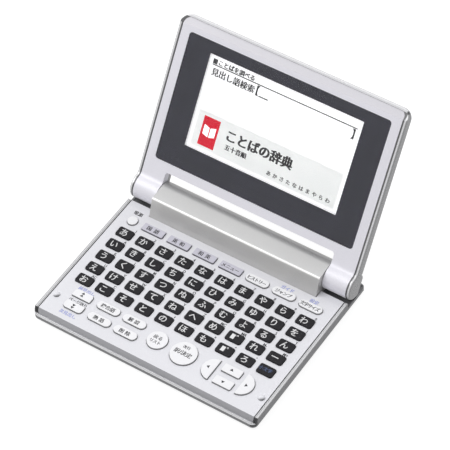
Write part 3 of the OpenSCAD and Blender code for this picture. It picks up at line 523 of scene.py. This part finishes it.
def make_display():
    """The reflective face of the liquid crystal: pale, with the faint grid of its dots, and a painted glow in
    place of the light that it reflects.
    """
    material, tree, surface = new_material("display_liquid_crystal_painted_glow")
    lid_place = tree.nodes.new("ShaderNodeVectorRotate")
    lid_place.rotation_type = "X_AXIS"
    link(tree, object_place(tree), lid_place.inputs["Vector"])
    lid_place.inputs["Angle"].default_value = -LID_TILT
    dots = bricks(tree, lid_place.outputs[0],
                  ((0.80, 0.80, 0.80), (0.79, 0.79, 0.795), (0.70, 0.70, 0.71)),
                  0.00001, 0.00016, 0.00016)
    dots.offset = 0.0
    dots.squash = 1.0
    link(tree, dots.outputs["Color"], surface["Base Color"])
    # Painted glow: the display's own colour given out as light.
    link(tree, dots.outputs["Color"], surface["Emission Color"])
    surface["Emission Strength"].default_value = 0.62
    surface["Roughness"].default_value = 0.35
    return material


def make_board():
    """Green solder mask over copper tracks that run in two directions."""
    material, tree, surface = new_material("circuit_board_mask")
    place = object_place(tree)
    tracks = bricks(tree, place, ((0.012, 0.11, 0.05), (0.02, 0.15, 0.07), (0.05, 0.26, 0.10)),
                    0.00012, 0.0042, 0.0009)
    link(tree, tracks.outputs["Color"], surface["Base Color"])
    link(tree, bump(tree, tracks.outputs["Fac"], 0.3, 0.00003), surface["Normal"])
    gloss = noise(tree, place, 300.0, 2.0)
    link(tree, ranged(tree, gloss, 0.3, 0.7, 0.22, 0.4), surface["Roughness"])
    return material


SLOT_FINISH = dict(
    casing_silver=CASING, rail_silver=RAIL, pearl_panel=PEARL, lid_silver=LID_BACK,
    barrel_champagne=BARREL, foot_rubber=FOOT, bumper_rubber=BUMPER, silicone_sheet=SILICONE,
    circuit_board=make_board(), ribbon_film=RIBBON, cell_jacket=CELL, spring_steel=STEEL,
    clear_window=make_window(), mask_print=MASK, display_cell=make_display(),
    key_black=KEY_BLACK, key_grey=KEY_GREY, key_white=KEY_WHITE)
OWN_FINISH = dict(lid_bezel=BEZEL, base_trim_frame=STRIP)


def node_finish(node):
    return OWN_FINISH.get(node, SLOT_FINISH[SLOT_OF[node]])


# CAD pieces with softened edges

SHARP = math.radians(32.0)
FLAT = math.radians(0.6)
WELD = 2e-6
# Radius of the softened edges in mm
EDGES = dict(
    base_lower_case=0.12, base_trim_frame=0.10, keyboard_panel=0.10, hinge_barrel_cover=0.15,
    lid_bezel=0.12, lid_trim_frame=0.12, lid_back_cover=0.12, battery_cover=0.12,
    lid_bumpers=0.25, display_window=0.06, window_mask=0.01, display_glass=0.04)
KEY_EDGES = dict(key_black=0.2, key_grey=0.2, key_white=0.14)
WINDOW_SIDES_N = 1.95
WINDOW_LIFT = 0.03


def mesh_from(shape, name):
    mesh = bpy.data.meshes.new(name)
    shape.to_mesh(mesh)
    shape.free()
    return mesh


def add_object(name, mesh, material, body):
    piece = bpy.data.objects.new(name, mesh)
    bpy.context.scene.collection.objects.link(piece)
    mesh.materials.clear()
    mesh.materials.append(material)
    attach(piece, body)
    return piece


def softened(node, edge, segments=2):
    """A welded copy of a CAD node with its sharp edges rounded, that stands for the node."""
    shape = bmesh.new()
    shape.from_mesh(NODES[node].data)
    bmesh.ops.remove_doubles(shape, verts=shape.verts, dist=WELD)
    bmesh.ops.dissolve_limit(shape, angle_limit=FLAT, verts=shape.verts,
                             edges=shape.edges, use_dissolve_boundaries=False)
    name = node + "_finished"
    mesh = mesh_from(shape, name)
    for face in mesh.polygons:
        face.use_smooth = True
    mesh.set_sharp_from_angle(angle=SHARP)
    piece = add_object(name, mesh, node_finish(node), BODY_OF[node])
    rounding = piece.modifiers.new("softened_edges", "BEVEL")
    rounding.width = edge * MM
    rounding.segments = segments
    rounding.limit_method = "ANGLE"
    rounding.angle_limit = SHARP
    rounding.use_clamp_overlap = True
    rounding.harden_normals = True
    rounding.miter_outer = "MITER_ARC"
    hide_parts(node)
    return piece


def lift_underside(piece, low, lift):
    """Raises a lid piece's faces that lie less than low over the axis off what is under them."""
    for vertex in piece.data.vertices:
        if (vertex.co - HINGE_AT).dot(LID_OUT) < low * MM:
            vertex.co += LID_OUT * lift * MM


# Faces that take a lit or shaded copy of their paint (painted highlight, shade or dark reflection), chosen by
# their middle in mm and the way that they face
FRONT = box_mm("base_lower_case")[0].y
FRONT_BEVEL = FRONT + 3.2
FRONT_LIP = FRONT + 0.7
INSIDE_SIDES = 53.0
INSIDE_CORNERS = 52.6
INSIDE_LIPS = 53.9
LOWEST_TRIM = 2.9
LID_END = 77.0
LID_CORNER = 75.5
LID_HALFWAY = 60.0
BARREL_CREST = 14.75
BARREL_CREST_Y = 14.0


def along_lid(at):
    """How far a place in mm lies along the lid from the hinge axis."""
    return (at - HINGE_AT / MM).dot(LID_ALONG)


def front_corner(at, out):
    return (abs(at.x) > INSIDE_CORNERS and at.y < FRONT_BEVEL and at.z > LOWEST_TRIM
            and (out.y < -0.3 or out.z < 0.3))


def panel_bevel(at, out):
    return out.y < -0.5 and out.z > 0.1 and at.y < FRONT_BEVEL


def bezel_end(at, out):
    return out.y > -0.75 and out.z > 0.62 and at.z > LID_HALFWAY


def lid_end(at, out):
    return along_lid(at) > LID_END and abs(at.x) < INSIDE_SIDES


def left_lid_corner(at, out):
    return (at.x < -INSIDE_SIDES and along_lid(at) > LID_CORNER
            and out.z > 0.3 and abs(out.x) < 0.5)


def casing_lip(at, out):
    return out.z > 0.35 and at.z > 3.0 and (abs(at.x) > INSIDE_LIPS or at.y < FRONT_LIP)


def strip_front(at, out):
    return at.y < FRONT_BEVEL and abs(at.x) < INSIDE_SIDES


def barrel_top(at, out):
    return at.z > 9.0 and out.z > 0.8


def barrel_ridge(at, out):
    return at.z > BARREL_CREST and at.y < BARREL_CREST_Y and 0.62 < out.z < 0.985


FACE_FINISH = dict(
    keyboard_panel=[(PEARL_SHADE, panel_bevel)],
    lid_bezel=[(BEZEL_END_SHADE, bezel_end)],
    lid_trim_frame=[(TRIM_END_HIGHLIGHT, lid_end), (CORNER_REFLECTION, left_lid_corner)],
    base_lower_case=[(CASING_LIP_HIGHLIGHT, casing_lip), (CORNER_REFLECTION, front_corner)],
    base_trim_frame=[(STRIP_FRONT, strip_front), (CORNER_REFLECTION, front_corner)],
    hinge_barrel_cover=[(BARREL_TOP_SHADE, barrel_top), (RIDGE_HIGHLIGHT, barrel_ridge)])


def faces_take(piece, finish, chosen):
    """Gives another finish, a copy with painted shade or highlight, to the faces that are chosen."""
    mesh = piece.data
    mesh.materials.append(finish)
    for face in mesh.polygons:
        if chosen(face.center / MM, face.normal):
            face.material_index = len(mesh.materials) - 1


def dress_nodes():
    for node, thing in NODES.items():
        thing.data.materials.clear()
        thing.data.materials.append(node_finish(node))
        if node in EDGES:
            piece = softened(node, EDGES[node])
            if node == "display_window":
                lift_underside(piece, WINDOW_SIDES_N, WINDOW_LIFT)
            for finish, chosen in FACE_FINISH.get(node, []):
                faces_take(piece, finish, chosen)
        elif SLOT_OF[node] in KEY_EDGES:
            softened(node, KEY_EDGES[SLOT_OF[node]], 3)


# Printed lettering, in mm on the plane that it is set on

INK_THICK = 0.012
COPY_LIFT = 0.003
EM_MIDDLE = 0.38
CURVE_STEPS = 3


def type_mesh(words, bold):
    """Lettering of em size 1 as a flat mesh."""
    curve = bpy.data.curves.new("lettering", "FONT")
    curve.body = words
    curve.offset = bold
    curve.resolution_u = CURVE_STEPS
    thing = bpy.data.objects.new("lettering", curve)
    bpy.context.scene.collection.objects.link(thing)
    bpy.context.view_layer.update()
    seen = thing.evaluated_get(bpy.context.evaluated_depsgraph_get())
    mesh = bpy.data.meshes.new_from_object(seen)
    bpy.data.objects.remove(thing)
    bpy.data.curves.remove(curve)
    return mesh


class Print:
    """Ink of one colour that rides on a node's body; it gathers glyphs and flat shapes."""

    def __init__(self, name, material, node, plane):
        self.name, self.material, self.plane = name, material, plane
        self.body, self.slot_name = BODY_OF[node], SLOT_OF[node]
        self.shape = bmesh.new()

    def heavy(self, words, size, at, spread, **how):
        """Strokes widened by setting the same words again a little to each side."""
        for i, shift in enumerate((-spread, 0.0, spread)):
            self.glyphs(words, size, (at[0] + shift, at[1]), lie=i * COPY_LIFT, **how)

    def glyphs(self, words, size, at, lie=0.0, anchor="middle", bold=0.0, stretch=1.0, up=None):
        mesh = type_mesh(words, bold)
        if not mesh.vertices:
            return
        xs = [v.co.x for v in mesh.vertices]
        ys = [v.co.y for v in mesh.vertices]
        left, right = min(xs), max(xs)
        middle_x = dict(middle=(left + right) / 2, right=right, left=left,
                        em=len(words) / 2)[anchor]
        middle_y = {None: EM_MIDDLE, "box": (min(ys) + max(ys)) / 2, "foot": 0.0}[up]
        mesh.transform(Matrix.Translation((at[0] * MM, at[1] * MM, lie * MM))
                       @ Matrix.Diagonal((size * MM * stretch, size * MM, 1, 1))
                       @ Matrix.Translation((-middle_x, -middle_y, 0)))
        self.shape.from_mesh(mesh)
        bpy.data.meshes.remove(mesh)

    def patch(self, outline):
        self.shape.faces.new([self.shape.verts.new((x * MM, y * MM, 0)) for x, y in outline])

    def bar(self, x0, y0, x1, y1):
        self.patch([(x0, y0), (x1, y0), (x1, y1), (x0, y1)])

    def arrow_head(self, x, y, size, way):
        dx, dy = dict(left=(-1, 0), right=(1, 0), up=(0, 1), down=(0, -1))[way]
        foot_x, foot_y = x - dx * 0.5 * size, y - dy * 0.5 * size
        self.patch([(x + dx * size, y + dy * size),
                    (foot_x - dy * size, foot_y + dx * size),
                    (foot_x + dy * size, foot_y - dx * size)])

    def done(self):
        """Gives the ink its thickness and sets it on its plane."""
        shape = self.shape
        bmesh.ops.remove_doubles(shape, verts=shape.verts, dist=1e-7)
        bmesh.ops.recalc_face_normals(shape, faces=shape.faces)
        for face in shape.faces:
            if face.normal.z < 0:
                face.normal_flip()
        top = bmesh.ops.extrude_face_region(shape, geom=list(shape.faces))
        raised = [e for e in top["geom"] if isinstance(e, bmesh.types.BMVert)]
        bmesh.ops.translate(shape, verts=raised, vec=(0, 0, INK_THICK * MM))
        bmesh.ops.recalc_face_normals(shape, faces=shape.faces)
        bmesh.ops.transform(shape, matrix=self.plane, verts=shape.verts)
        add_object(self.name, mesh_from(shape, self.name), self.material, self.body)


def upside_down(x, y, z):
    return Matrix.Translation((x, y, z)) @ Matrix.Rotation(math.pi, 4, "X")


def key_top(node):
    low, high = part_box(node)
    return Matrix.Translation(((low.x + high.x) / 2, (low.y + high.y) / 2, high.z))


# The fifty character keys: five rows in ten columns
KANA = [["あ", "い", "う", "え", "お"], ["か", "き", "く", "け", "こ"],
        ["さ", "し", "す", "せ", "そ"], ["た", "ち", "つ", "て", "と"],
        ["な", "に", "ぬ", "ね", "の"], ["は", "ひ", "ふ", "へ", "ほ"],
        ["ま", "み", "む", "め", "も"], ["や", "ゆ", "よ", "voiced", "half_voiced"],
        ["ら", "り", "る", "れ", "ろ"], ["わ", "を", "ん", "ー", "small"]]
VOICE_MARKS = dict(voiced="゛", half_voiced="゜")
SMALL_LETTERS = "小文字"
ROW_PITCH = 7.3
COLUMN_PITCH = 10.0
KANA_SIZE = 3.9
KANA_LEFT = -0.45


def row_y(row):
    """Place of a row of character keys before or behind the middle one."""
    return (2 - row) * ROW_PITCH


def print_letter_keys():
    for column, signs in enumerate(KANA, 1):
        node = "letter_column_%d" % column
        ink = Print("legends_column_%d" % column, INK_WHITE, node, key_top(node))
        for row, sign in enumerate(signs):
            y = row_y(row)
            if sign in VOICE_MARKS:
                ink.bar(KANA_LEFT - 1.3, y - 1.3, KANA_LEFT + 0.4, y + 1.2)
                ink.glyphs(VOICE_MARKS[sign], KANA_SIZE, (KANA_LEFT + 1.2, y + 1.1), up="box")
            elif sign == "small":
                blue = Print("legend_small_letters", INK_DEEP_BLUE, node, key_top(node))
                blue.glyphs(SMALL_LETTERS, 2.0, (-0.4, y + 0.2))
            else:
                ink.glyphs(sign, KANA_SIZE, (KANA_LEFT, y), anchor="em", bold=0.014)
        ink.done()
    blue.done()


# Marks on the panel: one behind each character key ("none" for a bare place), and words
MARKS = ["1 2 3 4 5 6 7 8 9 0", "A B C D E F G H I J", "K L M N O P Q R S T",
         "U V W X Y Z MC MR M- M+", "AC C none none + - × ÷ ・ none"]
MARK_RIGHT, MARK_BEHIND = 3.5, 2.75
# Words, size, place, spread of the strokes, boldness
PANEL_WORDS = [("電源", 2.2, (-46.4, 26.6), 0.05, 0.01),
               ("ページ送り", 1.85, (-40.7, -25.6), 0.05, 0.008)]
PANEL_WORDS_BLUE = [("前見出し", 2.05, (-40.9, -18.9), 0.06, 0.008),
                    ("次見出し", 2.05, (-40.9, -32.7), 0.06, 0.008),
                    ("ガイド", 2.1, (29.6, 25.3), 0.06, 0.01),
                    ("設定", 2.1, (42.7, 25.3), 0.06, 0.008)]
PANEL_MIDDLE_Y = sum(corner.y for corner in box_mm("letter_column_1")) / 2


def heavy_words(ink, lines):
    for words, size, at, spread, bold in lines:
        ink.heavy(words, size, at, spread, bold=bold)


def print_panel():
    plane = Matrix.Translation((0, PANEL_MIDDLE_Y * MM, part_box("keyboard_panel")[1].z))
    marks = Print("panel_marks", INK_GREY, "keyboard_panel", plane)
    for row, line in enumerate(MARKS):
        for column, sign in enumerate(line.split()):
            if sign != "none":
                at = ((column - 4.5) * COLUMN_PITCH + MARK_RIGHT, row_y(row) + MARK_BEHIND)
                marks.heavy(sign, 1.9, at, 0.035, anchor="right", up="foot", stretch=0.92,
                            bold=0.014)
    heavy_words(marks, PANEL_WORDS)
    marks.done()
    blue = Print("panel_marks_blue", INK_BLUE, "keyboard_panel", plane)
    heavy_words(blue, PANEL_WORDS_BLUE)
    blue.done()


# Words of a command key, letter by letter: size, place, distance between the letters
KEY_WORDS = dict(
    mode_key_1=[("国語", 2.4, (-0.3, 0.0), 3.6)],
    mode_key_2=[("英和", 2.4, (-0.3, 0.0), 3.5)],
    mode_key_3=[("和英", 2.4, (-0.3, 0.0), 3.5)],
    mode_key_4=[("メニュー", 2.2, (-0.3, 0.0), 2.15)],
    tool_key_1=[("ヒストリー", 2.1, (-0.3, 0.0), 1.8)],
    tool_key_2=[("ジャンプ", 2.1, (-0.3, 0.0), 1.95)],
    tool_key_3=[("文字サイズ", 2.1, (-0.3, 0.0), 1.8)],
    option_key_1=[("複合語", 2.35, (-0.3, 0.0), 2.25)],
    option_key_2=[("解説", 2.3, (-0.3, 0.0), 3.0)],
    option_key_3=[("熟語", 2.3, (-0.3, 0.0), 3.0)],
    option_key_4=[("削除", 2.3, (-0.3, 0.0), 3.0)],
    back_key=[("戻る", 2.1, (-0.3, 1.2), 2.2), ("リスト", 1.9, (-0.3, -1.2), 1.8)])
KEY_LINES = dict(
    enter_key=[("訳/決定", 2.5, (-0.3, 0.0), 0.06, 0.008), ("改行", 1.7, (-0.4, 3.1), 0.04, 0.006)])
KEY_ARROWS = dict(
    page_up_key=[(-0.3, 0.75, "up"), (-0.3, -0.55, "up")],
    page_down_key=[(-0.3, 0.55, "down"), (-0.3, -0.75, "down")],
    arrow_left_key=[(-0.2, 0.1, "left")],
    arrow_right_key=[(-0.6, 0.1, "right")],
    arrow_up_key=[(-0.3, 0.1, "up")],
    arrow_down_key=[(-0.3, 0.1, "down")])
ARROW_SIZE = 0.8


def print_command_keys():
    for node in sorted({*KEY_WORDS, *KEY_LINES, *KEY_ARROWS}):
        ink = Print("legend_" + node, INK_DARK, node, key_top(node))
        for words, size, (x, y), pitch in KEY_WORDS.get(node, []):
            for i, sign in enumerate(words):
                ink.heavy(sign, size, (x + (i - (len(words) - 1) / 2) * pitch, y), 0.05,
                          anchor="em", bold=0.008)
        heavy_words(ink, KEY_LINES.get(node, []))
        for x, y, way in KEY_ARROWS.get(node, []):
            ink.arrow_head(x, y, ARROW_SIZE, way)
        ink.done()


# What the screen shows: x from the middle, heights from the lid's lower edge, in mm

LID_EDGE_TO_AXIS = 5.78
GLASS_TOP = 1.10
TEXT_LIFT = 0.02
SCREEN_LEFT, SCREEN_RIGHT = -35.5, 35.3
CARD_LOW, CARD_HIGH = 33.1, 49.1
BRACKETS = ((1, -12.4), (-1, 34.1))
BRACKET_LOW, BRACKET_HIGH, BRACKET_HOOK = 64.3, 68.8, 1.0
INDEX = "あかさたなはまやらわ"
INDEX_LEFT, INDEX_PITCH = 3.0, 3.2
EMBLEM_LEFT, EMBLEM_RIGHT = -32.3, -24.3
EMBLEM_LOW, EMBLEM_HIGH = 34.3, 47.3
PAGE_INNER, PAGE_OUTER = 0.25, 2.9


def lid_plane(n):
    """The lid's own frame, x across and y along the lid from the hinge, at n mm over the axis."""
    at = HINGE_AT + LID_OUT * n * MM
    return Matrix([[1, 0, 0, at.x], [0, LID_ALONG.y, LID_OUT.y, at.y],
                   [0, LID_ALONG.z, LID_OUT.z, at.z], [0, 0, 0, 1]])


def screen_layer(name, material, lift=0.0):
    plane = lid_plane(GLASS_TOP + lift) @ Matrix.Translation((0, -LID_EDGE_TO_AXIS * MM, 0))
    return Print(name, material, "display_glass", plane)


def search_field(ink):
    """Header line, square bullet, and the two brackets with the cursor between them."""
    ink.bar(SCREEN_LEFT, 69.65, -33.4, 71.8)
    ink.bar(SCREEN_LEFT, 69.02, SCREEN_RIGHT, 69.46)
    for side, x in BRACKETS:
        ink.patch([(x + side * out, y) for out, y in (
            (-0.55, BRACKET_LOW), (0.9, BRACKET_LOW), (0.25, BRACKET_LOW + BRACKET_HOOK),
            (0.15, (BRACKET_LOW + BRACKET_HIGH) / 2), (0.25, BRACKET_HIGH - BRACKET_HOOK),
            (0.9, BRACKET_HIGH), (-0.55, BRACKET_HIGH))][::side])
    ink.bar(-11.2, BRACKET_LOW, -6.7, 64.8)


def make_screen():
    card = screen_layer("screen_card", DOTS_CARD)
    card.bar(-SCREEN_RIGHT, CARD_LOW, SCREEN_RIGHT, CARD_HIGH)
    card.done()
    black = screen_layer("screen_text", DOTS_BLACK, TEXT_LIFT)
    search_field(black)
    for words, size, at, spread, bold, stretch in (
            ("ことばを調べる", 2.6, (-32.6, 70.85), 0.11, 0.012, 1.0),
            ("見出し語検索", 3.65, (-34.9, 66.3), 0.1, 0.01, 0.97),
            ("ことばの辞典", 5.5, (-19.8, 43.3), 0.2, 0.016, 1.0),
            ("五十音順", 2.7, (-19.5, 38.1), 0.11, 0.01, 1.0)):
        black.heavy(words, size, at, spread, anchor="left", bold=bold, stretch=stretch)
    black.done()
    dim = screen_layer("screen_index", DOTS_GREY, TEXT_LIFT)
    for i, sign in enumerate(INDEX):
        dim.heavy(sign, 2.2, (INDEX_LEFT + i * INDEX_PITCH, 35.6), 0.05, bold=0.018)
    dim.done()
    red = screen_layer("screen_emblem", DOTS_RED, TEXT_LIFT)
    red.bar(EMBLEM_LEFT, EMBLEM_LOW, EMBLEM_RIGHT, EMBLEM_HIGH)
    red.done()
    pages = screen_layer("screen_emblem_pages", DOTS_WHITE, 2 * TEXT_LIFT)
    spine = (EMBLEM_LEFT + EMBLEM_RIGHT) / 2
    for side in (-1, 1):
        pages.patch([(spine + side * PAGE_INNER, 38.6), (spine + side * PAGE_OUTER, 39.4),
                     (spine + side * PAGE_OUTER, 43.6), (spine + side * PAGE_INNER, 42.8)][::side])
    pages.done()


# Small things that repeat

def make_repeat_tree():
    """Sets one small shape at every place of a level grid and gives the lot a finish."""
    tree = bpy.data.node_groups.new("repeat_on_grid", "GeometryNodeTree")
    for label, kind in (("Shape", "NodeSocketGeometry"), ("Columns", "NodeSocketInt"),
                        ("Rows", "NodeSocketInt"), ("Width", NUMBER), ("Depth", NUMBER),
                        ("Finish", "NodeSocketMaterial")):
        tree.interface.new_socket(name=label, in_out="INPUT", socket_type=kind)
    tree.interface.new_socket(name="Pieces", in_out="OUTPUT", socket_type="NodeSocketGeometry")
    given, made = tree.nodes.new("NodeGroupInput"), tree.nodes.new("NodeGroupOutput")
    grid = tree.nodes.new("GeometryNodeMeshGrid")
    for label, socket in (("Width", "Size X"), ("Depth", "Size Y"), ("Columns", "Vertices X"),
                          ("Rows", "Vertices Y")):
        link(tree, given.outputs[label], grid.inputs[socket])
    place = tree.nodes.new("GeometryNodeInstanceOnPoints")
    link(tree, grid.outputs["Mesh"], place.inputs["Points"])
    link(tree, given.outputs["Shape"], place.inputs["Instance"])
    real = tree.nodes.new("GeometryNodeRealizeInstances")
    link(tree, place.outputs[0], real.inputs[0])
    paint = tree.nodes.new("GeometryNodeSetMaterial")
    link(tree, real.outputs[0], paint.inputs["Geometry"])
    link(tree, given.outputs["Finish"], paint.inputs["Material"])
    link(tree, paint.outputs[0], made.inputs["Pieces"])
    return tree


REPEAT = make_repeat_tree()
SHOULDER = 0.6
TAPER = 0.9


def raised_pad(wide, deep, tall, corner):
    """A low pad with cut corners and a chamfered rim, standing on z = 0, in mm."""
    shape = bmesh.new()
    x, y, c = wide / 2 * MM, deep / 2 * MM, corner * MM
    rim = [(-x + c, -y), (x - c, -y), (x, -y + c), (x, y - c),
           (x - c, y), (-x + c, y), (-x, y - c), (-x, -y + c)]
    rings = [[shape.verts.new((a * share, b * share, z * MM)) for a, b in rim]
             for share, z in ((1, 0), (1, tall * SHOULDER), (TAPER, tall))]
    for low, high in zip(rings, rings[1:]):
        for i in range(len(rim)):
            j = (i + 1) % len(rim)
            shape.faces.new((low[i], low[j], high[j], high[i]))
    shape.faces.new(rings[-1])
    shape.faces.new(rings[0][::-1])
    return mesh_from(shape, "raised_pad")


def repeated(name, mesh, finish, node, plane, columns, rows, pitch_x, pitch_y=0.0):
    """A grid of one small shape on a plane of a node, made once and kept as a plain mesh."""
    source = bpy.data.objects.new(name + "_source", mesh)
    bpy.context.scene.collection.objects.link(source)
    tool = source.modifiers.new("repeat", "NODES")
    tool.node_group = REPEAT
    values = dict(Columns=columns, Rows=rows, Width=pitch_x * (columns - 1) * MM,
                  Depth=pitch_y * (rows - 1) * MM, Finish=finish)
    for socket in REPEAT.interface.items_tree:
        if socket.item_type == "SOCKET" and socket.in_out == "INPUT" and socket.name in values:
            tool[socket.identifier] = values[socket.name]
    seen = source.evaluated_get(bpy.context.evaluated_depsgraph_get())
    made = bpy.data.meshes.new_from_object(seen)
    bpy.data.objects.remove(source)
    made.name = name
    made.transform(plane)
    add_object(name, made, finish, BODY_OF[node])


BOARD_T = 0.8
PROCESSOR_BEHIND = 1.0
PIN_ROWS_APART = 14.6
RIBBON_UNDER_N = -1.55
RIBBON_MIDDLE_U = 21.0
RIBBON_LENGTH = 15.6


def fit_boards():
    """Key contacts, solder pins and ribbon tracks, each a grid of one small shape."""
    board_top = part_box("main_board")[1].z
    middle = Matrix.Translation((0, PANEL_MIDDLE_Y * MM, board_top))
    repeated("key_contacts", raised_pad(4.2, 3.0, 0.02, 0.8), GOLD, "main_board", middle,
             10, 5, COLUMN_PITCH, ROW_PITCH)
    for side, end in ((-1, "front"), (1, "rear")):
        y = PANEL_MIDDLE_Y + PROCESSOR_BEHIND + side * PIN_ROWS_APART / 2
        under = upside_down(0, y * MM, board_top - BOARD_T * MM)
        repeated("processor_pins_" + end, raised_pad(0.34, 0.9, 0.22, 0.08), SOLDER,
                 "main_board", under, 16, 1, 0.75)
    low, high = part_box("display_ribbon")
    under = lid_plane(RIBBON_UNDER_N) @ upside_down((low.x + high.x) / 2, RIBBON_MIDDLE_U * MM, 0)
    repeated("ribbon_tracks", raised_pad(0.32, RIBBON_LENGTH, 0.02, 0.1), GOLD,
             "display_ribbon", under, 9, 1, 0.8)


def mark_cover():
    """An arrow under the battery cover for the way it slides."""
    low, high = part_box("battery_cover")
    arrow = Print("cover_arrow", INK_GREY, "battery_cover",
                  upside_down(0, (low.y + high.y) / 2, low.z))
    arrow.arrow_head(0.0, -5.0, 1.4, "down")
    arrow.bar(-0.45, -4.2, 0.45, -1.8)
    arrow.done()


# The whole scene

set_camera()
set_world()
set_floor()
area_lamp("lamp_over_left", (-0.75, -0.35, 1.15), (1.0, 1.0), 9.5)
area_lamp("lamp_behind", (0.3, 0.9, 1.0), (0.9, 0.6), 4.5)
dress_nodes()
print_letter_keys()
print_panel()
print_command_keys()
make_screen()
fit_boards()
mark_cover()

bpy.context.scene.view_settings.view_transform = "Standard"
